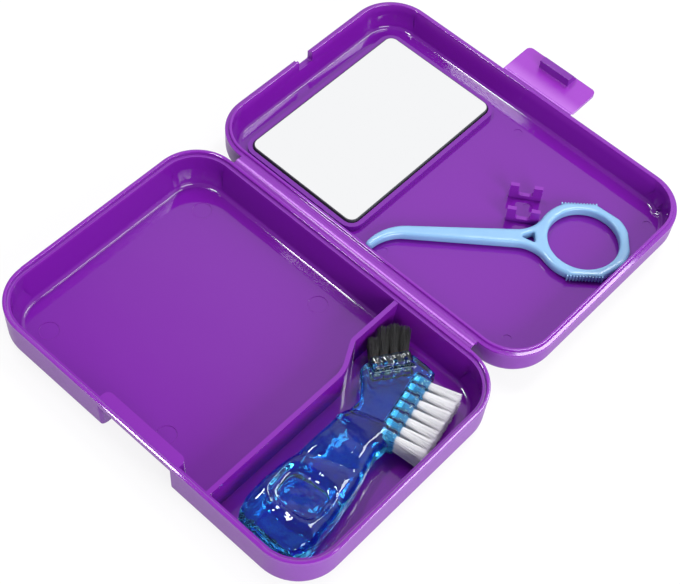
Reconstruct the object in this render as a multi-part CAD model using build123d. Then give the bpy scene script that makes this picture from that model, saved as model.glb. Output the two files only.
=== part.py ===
from build123d import *
import os
from math import atan2, cos, degrees, pi, radians, sin, sqrt, tan

# Retainer case, opened flat. Millimetres. X runs along the hinge, Y from the base to the lid, Z up.
# The origin is the centre of the base's underside.

# Trays
TRAY_LENGTH = 115.0
TRAY_DEPTH = 78.5
CORNER_RADIUS = 13.5
BASE_HEIGHT = 13.0
LID_HEIGHT = 9.0
FLOOR = 1.6
WALL = 2.0
DRAFT = 1.5
BOTTOM_ROUND = 3.0
FLOOR_ROUND = 2.0

# Rim: the lid's lip drops into a rebate in the base's rim
RIM_LAND = 1.0
REBATE_DEPTH = 0.9
LIP_HEIGHT = 0.75
LIP_CLEARANCE = 0.15
SEAM_GAP = 0.1

# Living hinge between the rims
HINGE_BAND = 3.0
HINGE_LENGTH = 86.4
FILM_WIDTH = 0.8
FILM_THICKNESS = 0.4
LEAF_ROOT = 1.7

# Divider in the base, with one bend towards the hinge
DIVIDER_THICKNESS = 1.3
DIVIDER_FRONT_FROM_RIGHT_WALL = 31.3
DIVIDER_REAR_FROM_RIGHT_WALL = 35.95
DIVIDER_BEND_START = 25.5
DIVIDER_BEND_END = 17.0
DIVIDER_BEND_RADII = (12.0, 2.2)
DIVIDER_BELOW_LIP = 0.2

# Latch: recess in the base's front wall, flap on its own living hinge on the lid's far wall
RECESS_DEPTH = 3.65
RECESS_WALL = 1.2
RECESS_CORNER = 1.8
RECESS_FOOT_ROUND = 2.0
FLANGE_THICKNESS = 1.8
LATCH_WIDTH = 25.2
LATCH_SIDE_CLEARANCE = 0.4
LATCH_REACH = 11.6
LATCH_THICKNESS = 1.3
LATCH_FILM_WIDTH = 0.8
LATCH_CORNERS = 1.6
CATCH_WIDTH = 10.6
CATCH_HEIGHT = 3.0
CATCH_TOP = 2.3
CATCH_SETBACK = 6.9
STRIKE_PAST_CATCH = 0.7
STRIKE_DEPTH = 1.3
STRIKE_THICKNESS = 1.6
CATCH_CLEARANCE = 0.15

# Vent notch in the lid's left wall
VENT_WIDTH = 5.6
VENT_DEPTH = 3.0
VENT_CORNER = 0.5
VENT_Y_FROM_CENTRE = 0.1

# Mirror and the rib frame round it
MIRROR_WIDTH = 39.4
MIRROR_LENGTH = 60.4
MIRROR_CORNER = 2.6
GLASS = 1.6
MIRROR_BACKING = 0.15
TAPE = 0.8
TAPE_INSET = 2.0
MIRROR_CLEARANCE = 0.35
FRAME_WIDTH = 1.3
FRAME_HEIGHT = 1.8
MIRROR_FROM_LEFT = 10.3
MIRROR_FROM_HINGE_SIDE = 7.7

# Cradle: two notched plates on the lid's floor
CRADLE_WIDTH = 9.2
CRADLE_HEIGHT = 5.4
CRADLE_THICKNESS = 1.2
CRADLE_SLOT_WIDTH = 4.2
CRADLE_SLOT_DEPTH = 3.9
CRADLE_TURN = -8.2
CRADLE_SPACING = 8.4
CRADLE_FROM_RING = 16.1
CRADLE_FROM_HANDLE = 11.4

# Round ejector marks on the floors
MARK_RADIUS = 2.75
MARK_DEPTH = 0.12
BASE_MARKS_X = (-43.5, 1.2)
BASE_MARKS_Y = (-29.3, 27.2)
LID_MARK_RADIUS = 1.3
LID_MARKS = ((3.5, 8.4), (46.0, 10.5), (22.2, 48.8), (3.0, 68.0), (50.0, 68.0))

# Aligner removal tool, lying on the lid's floor
TOOL_THICKNESS = 3.1
TOOL_ROUND = 1.0
TOOL_BORE_CHAMFER = 0.35
TOOL_RING_FROM_RIGHT_WALL = 14.2
TOOL_RING_FROM_HINGE_WALL = 47.3
TOOL_RING_INNER = 10.1
TOOL_RING_OUTER = 13.2
TOOL_PAD = 12.6
TOOL_END = 12.8
TOOL_FACET = 12.6
TOOL_FACET_ANGLE = 52.5
TOOL_FLAT_CORNER = 1.0
TOOL_HANDLE_AT_RING = 2.6
TOOL_HANDLE_AT_HOOK = 1.75
TOOL_HOOK_FROM_FRAME = 10.6
TOOL_HOOK_FROM_HINGE_WALL = 14.7
TOOL_HOOK_RADIUS = 13.0
TOOL_HOOK_TURN = 52.0
TOOL_TIP = 1.1
TOOL_FLARE = 9.0
TOOL_WINDOW_LENGTH = 4.0
TOOL_WINDOW_HALF = 2.0
TOOL_WINDOW_WALL = 3.5
GRIP_TEETH = 12
GRIP_TOOTH_PITCH = 0.8
GRIP_TOOTH_WIDTH = 0.42
GRIP_TOOTH_PROUD = 0.3
GRIP_TOOTH_MARGIN = 0.5
GRIP_TEETH_X = -0.4
REST_GAP = 0.05

# Denture brush, lying on its side in the base's right compartment
BRUSH_FROM_RIGHT_WALL = 15.3
BRUSH_FROM_HINGE_WALL = 37.25
GRIP_THICKNESS = 10.4
GRIP_CORNER = 3.2
# Sections from the collar to the nose: middle x, middle y, turn, width, and thickness left off
BODY_SECTIONS = (
    (-2.1, 8.2, 20.0, 13.4, 5.0),
    (-2.1, 7.2, 20.0, 15.0, 2.4),
    (-2.1, 5.0, 20.0, 15.6, 1.0),
    (-2.1, -1.5, 21.0, 15.6, 0.8),
    (-1.6, -6.5, 23.0, 17.2, 1.1),
    (-1.2, -9.6, 23.0, 18.6, 1.9),
    (-0.9, -12.0, 19.0, 19.2, 0.6),
    (-0.2, -18.0, 8.0, 20.2, 0.0),
    (0.5, -27.0, 0.0, 21.4, 0.0),
    (0.6, -30.6, 0.0, 21.2, 0.9),
    (0.6, -33.5, 0.0, 19.6, 2.8),
    (0.6, -35.3, 0.0, 16.8, 5.4),
    (0.6, -36.0, 0.0, 13.6, 7.8),
)
DISH_WIDTH = 15.6
DISH_LENGTH = 13.0
DISH_CORNER = 4.5
DISH_DEPTH = 1.1
DISH_SLOPE = 55.0
DISH_START = 0.2
DISH_CENTRE = (0.0, -20.6)
DISH_TURN = 6.0
PLATE_THICKNESS = 5.6
PLATE_ROUND = 0.8
PLATE_CORNER = 1.6
PLATE_OUTLINE = ((-8.2, 2.0), (-8.4, 9.6), (-10.6, 12.6), (-14.4, 16.2), (-14.9, 20.0),
                 (-8.5, 29.4), (-2.6, 29.6), (1.4, 29.0), (4.2, 2.0))
FACE_CUT = 20.0
WHITE_CUT_MARGIN = 2.5
BLACK_CUT_MARGIN = 4.5
HEAD_THICKNESS = 8.0
STRIP_DEPTH = 3.6
SLICE = 0.8
SCALLOP_PROUD = 0.5
SCALLOP_WIDTH = 2.7
STRAND_RADIUS = 0.17
STRAND_SIDES = 3
STRAND_RINGS = ((0.0, 1), (0.42, 4), (0.78, 6))
TUFT_SPREAD = 1.28
TUFT_RADIUS = 0.95
TUFT_SIDES = 6
TUFT_SEAT = 2.2
TUFT_CLEARANCE = 0.03
WHITE_COLUMNS = 7
WHITE_ROWS = 3
WHITE_PITCH = 3.05
WHITE_ROW_PITCH = 2.4
WHITE_LENGTH = 8.7
WHITE_CENTRE = (3.9, 16.35)
WHITE_ANGLE = 13.0
WHITE_FAN = 1.0
BLACK_COLUMNS = 4
BLACK_ROWS = 2
BLACK_PITCH = 2.75
BLACK_ROW_PITCH = 2.9
BLACK_LENGTHS = (8.6, 9.8, 9.4, 6.6)
BLACK_CENTRE = (-11.6, 24.6)
BLACK_ANGLE = 146.0
BLACK_LEAN = 14.0
ANCHOR_CLEARANCE = 0.03
ANCHOR_HEIGHT = 1.2
ANCHOR_THICKNESS = 0.3

# Places worked out from the sizes above
LID_Y = TRAY_DEPTH + HINGE_BAND
HINGE_Y = LID_Y / 2
HINGE_Z = BASE_HEIGHT + SEAM_GAP / 2
LID_BOTTOM = BASE_HEIGHT - LID_HEIGHT
LID_FLOOR = LID_BOTTOM + FLOOR
FRONT_Y = -TRAY_DEPTH / 2
REAR_WALL_Y = TRAY_DEPTH / 2 - WALL
RIGHT_WALL_X = TRAY_LENGTH / 2 - WALL
LID_NEAR_Y = HINGE_Y + HINGE_BAND / 2
LID_NEAR_WALL_Y = LID_NEAR_Y + WALL
LID_FAR_Y = LID_NEAR_Y + TRAY_DEPTH
LATCH_AXIS_Z = BASE_HEIGHT
RECESS_WIDTH = LATCH_WIDTH + 2 * LATCH_SIDE_CLEARANCE
STRIKE_WIDTH = CATCH_WIDTH + 2 * STRIKE_PAST_CATCH
STRIKE_TOP_OFFSET = CATCH_SETBACK + LATCH_FILM_WIDTH / 2
EPS = 1.0


def save(shape, node):
    export_step(shape, f"parts/{node}.step")


def tray_outline(inset):
    return RectangleRounded(TRAY_LENGTH - 2 * inset, TRAY_DEPTH - 2 * inset, CORNER_RADIUS - inset)


def drafted_block(inset, top, bottom, edge_round):
    """Rounded rectangle that narrows downwards, with a rounded lower edge."""
    block = extrude(tray_outline(inset), amount=top - bottom, taper=DRAFT)
    block = Pos(0, 0, top) * Rot(180, 0, 0) * block
    return fillet(block.edges().group_by(Axis.Z)[0], edge_round)


def rim_plate(inset, bottom, top):
    """Straight plate with the tray's outline, drawn in by an inset."""
    return Pos(0, 0, bottom) * extrude(tray_outline(inset), amount=top - bottom)


def between(x0, x1, y0, y1, z0, z1):
    """Box given by its limits."""
    return Pos((x0 + x1) / 2, (y0 + y1) / 2, (z0 + z1) / 2) * Box(x1 - x0, y1 - y0, z1 - z0)


def prism_along_x(points, width):
    """Outline in Y and Z, extruded along X and centred on x = 0."""
    face = make_face(Polyline(*[(0, y, z) for y, z in points], close=True))
    return extrude(face, amount=width / 2, dir=(1, 0, 0), both=True)


def hinge_leaf(side):
    """Leaf from a rim to the hinge film: flat on top, thinning towards the film."""
    root = HINGE_Y + side * (HINGE_BAND / 2 + WALL / 2)
    edge = HINGE_Y + side * HINGE_BAND / 2
    film = HINGE_Y + side * FILM_WIDTH / 2
    top = BASE_HEIGHT
    points = [(root, top), (film, top), (film, top - FILM_THICKNESS)]
    points += [(edge, top - LEAF_ROOT), (root, top - LEAF_ROOT)]
    return prism_along_x(points, HINGE_LENGTH)


def divider(outer):
    """Wall between the compartments, cut to the tray's outer form."""
    front_x = RIGHT_WALL_X - DIVIDER_FRONT_FROM_RIGHT_WALL
    rear_x = RIGHT_WALL_X - DIVIDER_REAR_FROM_RIGHT_WALL
    path = FilletPolyline(
        (front_x, FRONT_Y),
        (front_x, REAR_WALL_Y - DIVIDER_BEND_START),
        (rear_x, REAR_WALL_Y - DIVIDER_BEND_END),
        (rear_x, -FRONT_Y),
        radius=list(DIVIDER_BEND_RADII),
    )
    top = BASE_HEIGHT - REBATE_DEPTH - DIVIDER_BELOW_LIP
    ribbon = extrude(trace(path, DIVIDER_THICKNESS), amount=top - FLOOR / 2)
    inside = rim_plate(WALL / 2, 0, top)
    return Pos(0, 0, FLOOR / 2) * ribbon & inside & outer


def latch_recess():
    """Added box and the pocket cut into it, under the rim's flange."""
    half = RECESS_WIDTH / 2 + RECESS_WALL
    depth = RECESS_DEPTH + RECESS_WALL
    rebate_floor = BASE_HEIGHT - REBATE_DEPTH
    box = between(-half, half, FRONT_Y + WALL / 2, FRONT_Y + depth, FLOOR / 2, rebate_floor)
    inner_corners = box.edges().filter_by(Axis.Z).sort_by(Axis.Y)[-2:]
    box = fillet(inner_corners, RECESS_CORNER)
    underside = BASE_HEIGHT - FLANGE_THICKNESS
    half = RECESS_WIDTH / 2
    pocket = between(-half, half, FRONT_Y - EPS, FRONT_Y + RECESS_DEPTH, -EPS, underside)
    return box, pocket


def strike():
    """Ledge on the recess's back wall that the catch snaps under once the lid is closed."""
    back = FRONT_Y + RECESS_DEPTH
    nose = back - STRIKE_DEPTH
    low = HINGE_Z * 2 - LATCH_AXIS_Z - STRIKE_TOP_OFFSET + CATCH_CLEARANCE
    high = low + STRIKE_THICKNESS
    points = [(back + RECESS_WALL / 2, low), (nose, low), (nose, low + STRIKE_THICKNESS / 3), (back, high)]
    points.append((back + RECESS_WALL / 2, high))
    return prism_along_x(points, STRIKE_WIDTH)


def base_marks():
    marks = []
    for x in BASE_MARKS_X:
        for y in BASE_MARKS_Y:
            marks.append(Pos(x, y, FLOOR) * Cylinder(MARK_RADIUS, MARK_DEPTH * 2))
    return marks


def base_tray():
    outer = drafted_block(0, BASE_HEIGHT, 0, BOTTOM_ROUND)
    cavity = drafted_block(WALL, BASE_HEIGHT, FLOOR, FLOOR_ROUND)
    box, pocket = latch_recess()
    tray = outer - cavity + (box & outer) + divider(outer)
    tray -= rim_plate(RIM_LAND, BASE_HEIGHT - REBATE_DEPTH, BASE_HEIGHT + EPS)
    tray -= pocket
    foot = [e for e in tray.edges().filter_by(Axis.X) if abs(e.center().Z) < 0.01
            and abs(e.center().Y - FRONT_Y - RECESS_DEPTH) < 0.01]
    tray = fillet(foot, RECESS_FOOT_ROUND)
    tray += strike()
    tray += hinge_leaf(-1)
    return tray.cut(*base_marks())


def mirror_place():
    x = -TRAY_LENGTH / 2 + MIRROR_FROM_LEFT + MIRROR_WIDTH / 2
    y = LID_NEAR_Y + MIRROR_FROM_HINGE_SIDE + MIRROR_LENGTH / 2
    return x, y


def mirror_sheet(grow, thickness, z):
    """Rounded plate on the mirror's centre, larger than the glass by grow on each side."""
    x, y = mirror_place()
    outline = RectangleRounded(MIRROR_WIDTH + 2 * grow, MIRROR_LENGTH + 2 * grow, MIRROR_CORNER + grow)
    return Pos(x, y, z) * extrude(outline, amount=thickness)


def mirror_frame():
    low = LID_FLOOR - FLOOR / 2
    high = FRAME_HEIGHT + FLOOR / 2
    outer = mirror_sheet(MIRROR_CLEARANCE + FRAME_WIDTH, high, low)
    return outer - mirror_sheet(MIRROR_CLEARANCE, high + EPS, low)


def cradle_plate():
    """Upright plate with a slot from its top edge, on the origin."""
    low = -FLOOR / 2
    plate = between(-CRADLE_WIDTH / 2, CRADLE_WIDTH / 2, -CRADLE_THICKNESS / 2, CRADLE_THICKNESS / 2,
                    low, CRADLE_HEIGHT)
    slot_low = CRADLE_HEIGHT - CRADLE_SLOT_DEPTH
    slot = between(-CRADLE_SLOT_WIDTH / 2, CRADLE_SLOT_WIDTH / 2, -CRADLE_THICKNESS, CRADLE_THICKNESS,
                   slot_low, CRADLE_HEIGHT + EPS)
    slot = fillet(slot.edges().filter_by(Axis.Y).group_by(Axis.Z)[0], CRADLE_SLOT_WIDTH / 4)
    return plate - slot


def cradle():
    """Plates beside the tool's handle, near its ring."""
    x, y, length, angle = tool_place()
    place = Pos(x, y, LID_FLOOR) * Rot(0, 0, angle) * Pos(-CRADLE_FROM_RING, CRADLE_FROM_HANDLE)
    place *= Rot(0, 0, CRADLE_TURN)
    near = place * Pos(0, -CRADLE_SPACING / 2, 0) * cradle_plate()
    far = place * Pos(0, CRADLE_SPACING / 2, 0) * cradle_plate()
    return near + far


def lid_marks():
    marks = []
    for x, from_hinge in LID_MARKS:
        place = Pos(x, LID_NEAR_Y + from_hinge, LID_FLOOR)
        marks.append(place * Cylinder(LID_MARK_RADIUS, MARK_DEPTH * 2))
    return marks


def vent_notch():
    y = LID_Y + VENT_Y_FROM_CENTRE
    x = -TRAY_LENGTH / 2
    notch = between(x - EPS, x + 2 * WALL, y - VENT_WIDTH / 2, y + VENT_WIDTH / 2,
                    BASE_HEIGHT - VENT_DEPTH, BASE_HEIGHT + 2 * EPS)
    return fillet(notch.edges().filter_by(Axis.X).group_by(Axis.Z)[0], VENT_CORNER)


def lid_tray():
    shell = drafted_block(0, LID_HEIGHT, 0, BOTTOM_ROUND)
    shell -= drafted_block(WALL, LID_HEIGHT, FLOOR, FLOOR_ROUND)
    lip_outer = RIM_LAND + LIP_CLEARANCE
    lip = rim_plate(lip_outer, LID_HEIGHT - FLOOR / 2, LID_HEIGHT + LIP_HEIGHT)
    lip -= rim_plate(WALL, 0, LID_HEIGHT + LIP_HEIGHT + EPS)
    tray = Pos(0, LID_Y, LID_BOTTOM) * (shell + lip)
    tray += hinge_leaf(1)
    tray += mirror_frame()
    tray += cradle()
    return tray.cut(vent_notch(), *lid_marks())


def hinge_film():
    half = FILM_WIDTH / 2
    return between(-HINGE_LENGTH / 2, HINGE_LENGTH / 2, HINGE_Y - half, HINGE_Y + half,
                   BASE_HEIGHT - FILM_THICKNESS, BASE_HEIGHT)


def latch_film():
    return between(-LATCH_WIDTH / 2, LATCH_WIDTH / 2, LID_FAR_Y, LID_FAR_Y + LATCH_FILM_WIDTH,
                   BASE_HEIGHT - FILM_THICKNESS, BASE_HEIGHT)


def latch_flap():
    """Flat flap with a raised catch: steep towards the hinge, sloping to the outer edge."""
    root = LID_FAR_Y + LATCH_FILM_WIDTH
    outer = root + LATCH_REACH
    top = BASE_HEIGHT
    plate = between(-LATCH_WIDTH / 2, LATCH_WIDTH / 2, root, outer, top - LATCH_THICKNESS, top)
    plate = fillet(plate.edges().filter_by(Axis.Z).sort_by(Axis.Y)[-2:], LATCH_CORNERS)
    step = root + LATCH_THICKNESS - FILM_THICKNESS
    under = top - LATCH_THICKNESS
    bevel = [(root - EPS, top - FILM_THICKNESS), (root, top - FILM_THICKNESS), (step, under)]
    bevel += [(step, under - EPS), (root - EPS, under - EPS)]
    plate -= prism_along_x(bevel, LATCH_WIDTH + EPS)
    face = root + CATCH_SETBACK
    middle = top - LATCH_THICKNESS / 2
    crest = top + CATCH_HEIGHT
    points = [(face, middle), (face, crest), (face + CATCH_TOP, crest), (outer, top), (outer, middle)]
    return plate + prism_along_x(points, CATCH_WIDTH)


def tool_place():
    """The ring's centre, and the handle's length and angle from it to where the hook starts."""
    ring_x = RIGHT_WALL_X - TOOL_RING_FROM_RIGHT_WALL
    ring_y = LID_NEAR_WALL_Y + TOOL_RING_FROM_HINGE_WALL
    frame_edge = mirror_place()[0] + MIRROR_WIDTH / 2 + MIRROR_CLEARANCE + FRAME_WIDTH
    reach_x = ring_x - frame_edge - TOOL_HOOK_FROM_FRAME
    reach_y = TOOL_RING_FROM_HINGE_WALL - TOOL_HOOK_FROM_HINGE_WALL
    return ring_x, ring_y, sqrt(reach_x ** 2 + reach_y ** 2), degrees(atan2(reach_y, reach_x))


def ring_outline():
    """Round outline with five flats: two finger pads, the end and a facet beside each pad."""
    ring = Circle(TOOL_RING_OUTER)
    size = 2 * TOOL_RING_OUTER
    flats = [(0, TOOL_END)]
    for side in (1, -1):
        flats.append((side * 90, TOOL_PAD))
        flats.append((side * TOOL_FACET_ANGLE, TOOL_FACET))
    for angle, distance in flats:
        ring -= Rot(0, 0, angle) * Pos(distance + size / 2, 0) * Rectangle(size, 2 * size)
    return fillet(ring.vertices(), TOOL_FLAT_CORNER)


def tool_outline(handle_length):
    """Flat outline of the tool about its ring's centre, with the handle along -X."""
    half = TOOL_HANDLE_AT_RING
    flare_x = -sqrt((TOOL_RING_OUTER + TOOL_FLARE) ** 2 - (half + TOOL_FLARE) ** 2)
    share = TOOL_RING_OUTER / (TOOL_RING_OUTER + TOOL_FLARE)
    meet = (flare_x * share, (half + TOOL_FLARE) * share)
    web = Polyline((flare_x, -half), (flare_x, half), meet, (0, 0), (meet[0], -meet[1]), close=True)
    flares = Pos(flare_x, half + TOOL_FLARE) * Circle(TOOL_FLARE)
    flares += Pos(flare_x, -half - TOOL_FLARE) * Circle(TOOL_FLARE)
    end = -handle_length
    thin = TOOL_HANDLE_AT_HOOK
    handle = make_face(Polyline((flare_x, half), (end, thin), (end, -thin), (flare_x, -half), close=True))
    return ring_outline() + (make_face(web) - flares) + handle + tool_hook(end, thin)


def tool_hook(end, half):
    """Bent end of the handle, tapering to a rounded tip."""
    radius = TOOL_HOOK_RADIUS
    turn = radians(TOOL_HOOK_TURN)
    tip = TOOL_TIP

    def at(angle, offset):
        return (end - (radius + offset) * sin(angle), -radius + (radius + offset) * cos(angle))

    outer = ThreePointArc(at(0, half), at(turn / 2, (half + tip) / 2), at(turn, tip))
    inner = ThreePointArc(at(turn, -tip), at(turn / 2, -(half + tip) / 2), at(0, -half))
    cap = Line(outer @ 1, inner @ 0)
    close = Line(inner @ 1, outer @ 0)
    nose = Pos(*at(turn, 0)) * Circle(tip)
    return make_face([outer, cap, inner, close]) + nose


def grip_teeth():
    """Upright teeth on both finger pads."""
    sunk = TOOL_PAD - TOOL_ROUND
    proud = TOOL_PAD + GRIP_TOOTH_PROUD
    half = GRIP_TOOTH_WIDTH / 2
    teeth = []
    for i in range(GRIP_TEETH):
        x = GRIP_TEETH_X + (i - (GRIP_TEETH - 1) / 2) * GRIP_TOOTH_PITCH
        tooth = between(x - half, x + half, sunk, proud,
                        GRIP_TOOTH_MARGIN, TOOL_THICKNESS - GRIP_TOOTH_MARGIN)
        teeth.append(tooth)
        teeth.append(mirror(tooth, about=Plane.XZ))
    return teeth


def removal_tool():
    ring_x, ring_y, handle_length, angle = tool_place()
    outline = tool_outline(handle_length)
    base = -TOOL_RING_INNER - TOOL_WINDOW_WALL
    window = make_face(Polyline((base, TOOL_WINDOW_HALF), (base, -TOOL_WINDOW_HALF),
                                (base - TOOL_WINDOW_LENGTH, 0), close=True))
    body = extrude(outline, amount=TOOL_THICKNESS)
    rims = body.edges().group_by(Axis.Z)
    body = fillet(rims[0] + rims[-1], TOOL_ROUND)
    body -= extrude(window + Circle(TOOL_RING_INNER), amount=TOOL_THICKNESS)
    bore = [e for e in body.edges().filter_by(GeomType.CIRCLE) if abs(e.radius - TOOL_RING_INNER) < 0.001]
    body = chamfer(bore, TOOL_BORE_CHAMFER)
    body = body.fuse(*grip_teeth())
    return Pos(ring_x, ring_y, LID_FLOOR + REST_GAP) * Rot(0, 0, angle) * body


def brush_place():
    """Brush's own frame: its middle plane is z = 0."""
    z = FLOOR + REST_GAP + GRIP_THICKNESS / 2
    return Pos(RIGHT_WALL_X - BRUSH_FROM_RIGHT_WALL, REAR_WALL_Y - BRUSH_FROM_HINGE_WALL, z)


def handle_body():
    """Collar and grip in one run of sections, drawn in between them and rounded at both ends."""
    sections = []
    for x, y, turn, width, left_off in BODY_SECTIONS:
        thickness = GRIP_THICKNESS - left_off
        corner = min(GRIP_CORNER, thickness / 2 * 0.9)
        section = RectangleRounded(width, thickness, corner)
        sections.append(Pos(x, y, 0) * Rot(0, 0, turn) * Rot(90, 0, 0) * section)
    return loft(sections, ruled=True)


def dish():
    """Hollow for a finger: rounded rectangle with sloping sides, cut from just above the upper face."""
    grow = DISH_START * tan(radians(DISH_SLOPE))
    outline = RectangleRounded(DISH_WIDTH + 2 * grow, DISH_LENGTH + 2 * grow, DISH_CORNER + grow)
    hollow = Rot(180, 0, 0) * extrude(outline, amount=DISH_DEPTH + DISH_START, taper=DISH_SLOPE)
    return Pos(*DISH_CENTRE, GRIP_THICKNESS / 2 + DISH_START) * Rot(0, 0, DISH_TURN) * hollow


def head_plate():
    """Thin plate that carries both tuft strips."""
    corners = make_face(Polyline(*PLATE_OUTLINE, close=True))
    outline = fillet(corners.vertices().sort_by(Axis.Y)[2:], PLATE_CORNER)
    plate = extrude(outline, amount=PLATE_THICKNESS / 2, both=True)
    rims = plate.edges().group_by(Axis.Z)
    return fillet(rims[0] + rims[-1], PLATE_ROUND)


def in_front(columns, pitch, margin):
    """Block that clears whatever stands in front of a tuft strip."""
    length = (columns - 1) * pitch + SCALLOP_WIDTH + 2 * margin
    return Pos(0, 0, FACE_CUT - SLICE) * Box(FACE_CUT, length, 2 * FACE_CUT)


def white_frame():
    x, y = WHITE_CENTRE
    return Pos(x, y, 0) * Rot(0, 0, WHITE_ANGLE) * Rot(0, 90, 0)


def black_frame():
    x, y = BLACK_CENTRE
    return Pos(x, y, 0) * Rot(0, 0, BLACK_ANGLE) * Rot(0, 90, 0)


def strip_outline(columns, pitch, thickness):
    """Edge-on outline of a tuft strip: x is the brush's thickness, y runs along the strip."""
    outline = Rectangle(thickness, (columns - 1) * pitch + SCALLOP_WIDTH)
    lobe_half = thickness / 2 + SCALLOP_PROUD
    for i in range(columns):
        y = (i - (columns - 1) / 2) * pitch
        lobe = RectangleRounded(2 * lobe_half, SCALLOP_WIDTH, SCALLOP_WIDTH / 2 - 0.01)
        outline += Pos(0, y) * lobe
    return outline


def tuft_spots(columns, rows, pitch, row_pitch):
    spots = []
    for i in range(columns):
        for j in range(rows):
            spots.append(((j - (rows - 1) / 2) * row_pitch, (i - (columns - 1) / 2) * pitch, i))
    return spots


def tuft(length, lean, fan):
    """Strands of one tuft, spreading a little from the root; z = 0 is the strip's face."""
    section = RegularPolygon(STRAND_RADIUS, STRAND_SIDES)
    strand = Pos(0, 0, -SLICE / 2) * extrude(section, amount=length + SLICE / 2)
    strands = []
    for radius, count in STRAND_RINGS:
        spread = degrees(atan2(radius * (TUFT_SPREAD - 1), length))
        for k in range(count):
            place = Rot(0, 0, 360 * k / count) * Pos(radius, 0, 0) * Rot(0, spread, 0)
            strands.append(Rot(lean + fan, 0, 0) * place * strand)
    return strands


def bristle_block(columns, rows, pitch, row_pitch, thickness, lengths, lean, fan):
    """Slice of the strip with its strands, and the folded roots that sit in the strip's holes."""
    face = strip_outline(columns, pitch, thickness)
    slice_body = extrude(face, amount=-SLICE)
    pieces = []
    for x, y, i in tuft_spots(columns, rows, pitch, row_pitch):
        step = i - (columns - 1) / 2
        for strand in tuft(lengths[i], lean, -fan * step):
            pieces.append(Pos(x, y, 0) * strand)
        pieces.append(Pos(x, y, -SLICE) * extrude(RegularPolygon(TUFT_RADIUS, TUFT_SIDES), amount=-TUFT_SEAT))
    return slice_body.fuse(*pieces)


def anchors(columns, rows, pitch, row_pitch):
    """Metal plates that pin the folded tufts at the bottoms of their holes."""
    z = -SLICE - TUFT_SEAT - ANCHOR_HEIGHT / 2
    length = 2 * (TUFT_RADIUS * cos(pi / TUFT_SIDES) - ANCHOR_CLEARANCE)
    plates = []
    for x, y, i in tuft_spots(columns, rows, pitch, row_pitch):
        plates.append(Pos(x, y, z) * Box(ANCHOR_THICKNESS, length, ANCHOR_HEIGHT))
    return plates


def holes(columns, rows, pitch, row_pitch):
    depth = TUFT_SEAT + ANCHOR_HEIGHT
    hole = extrude(RegularPolygon(TUFT_RADIUS + TUFT_CLEARANCE, TUFT_SIDES), amount=-depth)
    spots = tuft_spots(columns, rows, pitch, row_pitch)
    return [Pos(x, y, -SLICE) * hole for x, y, i in spots]


def brush_handle():
    white = white_frame()
    black = black_frame()
    white_strip = extrude(Pos(0, 0, -SLICE) * strip_outline(WHITE_COLUMNS, WHITE_PITCH, HEAD_THICKNESS),
                          amount=-STRIP_DEPTH)
    black_strip = extrude(Pos(0, 0, -SLICE) * strip_outline(BLACK_COLUMNS, BLACK_PITCH, HEAD_THICKNESS),
                          amount=-STRIP_DEPTH)
    body = handle_body().fuse(head_plate(), white * white_strip, black * black_strip)
    cuts = [dish(), mirror(dish(), about=Plane.XY)]
    cuts.append(white * in_front(WHITE_COLUMNS, WHITE_PITCH, WHITE_CUT_MARGIN))
    cuts.append(black * in_front(BLACK_COLUMNS, BLACK_PITCH, BLACK_CUT_MARGIN))
    cuts += [white * hole for hole in holes(WHITE_COLUMNS, WHITE_ROWS, WHITE_PITCH, WHITE_ROW_PITCH)]
    cuts += [black * hole for hole in holes(BLACK_COLUMNS, BLACK_ROWS, BLACK_PITCH, BLACK_ROW_PITCH)]
    return brush_place() * body.cut(*cuts)


def white_bristles():
    lengths = (WHITE_LENGTH,) * WHITE_COLUMNS
    block = bristle_block(WHITE_COLUMNS, WHITE_ROWS, WHITE_PITCH, WHITE_ROW_PITCH, HEAD_THICKNESS,
                          lengths, 0, WHITE_FAN)
    return brush_place() * white_frame() * block


def black_bristles():
    block = bristle_block(BLACK_COLUMNS, BLACK_ROWS, BLACK_PITCH, BLACK_ROW_PITCH, HEAD_THICKNESS,
                          BLACK_LENGTHS, BLACK_LEAN, 0)
    return brush_place() * black_frame() * block


if __name__ == "__main__":
    os.makedirs("parts", exist_ok=True)
    save(base_tray(), "base_tray")
    save(hinge_film(), "hinge_film")
    save(lid_tray(), "lid_tray")
    save(latch_film(), "latch_film")
    save(latch_flap(), "latch_flap")
    save(mirror_sheet(-TAPE_INSET, TAPE, LID_FLOOR), "mirror_tape")
    save(mirror_sheet(0, MIRROR_BACKING, LID_FLOOR + TAPE), "mirror_backing")
    save(mirror_sheet(0, GLASS, LID_FLOOR + TAPE + MIRROR_BACKING), "mirror_glass")
    save(removal_tool(), "removal_tool")
    save(brush_handle(), "brush_handle")
    save(white_bristles(), "white_bristles")
    save(black_bristles(), "black_bristles")
    white_anchors = anchors(WHITE_COLUMNS, WHITE_ROWS, WHITE_PITCH, WHITE_ROW_PITCH)
    save(brush_place() * white_frame() * Compound(white_anchors), "white_tuft_anchors")
    black_anchors = anchors(BLACK_COLUMNS, BLACK_ROWS, BLACK_PITCH, BLACK_ROW_PITCH)
    save(brush_place() * black_frame() * Compound(black_anchors), "black_tuft_anchors")
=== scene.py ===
import bpy
import math
import random
from mathutils import Matrix, Vector


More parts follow.
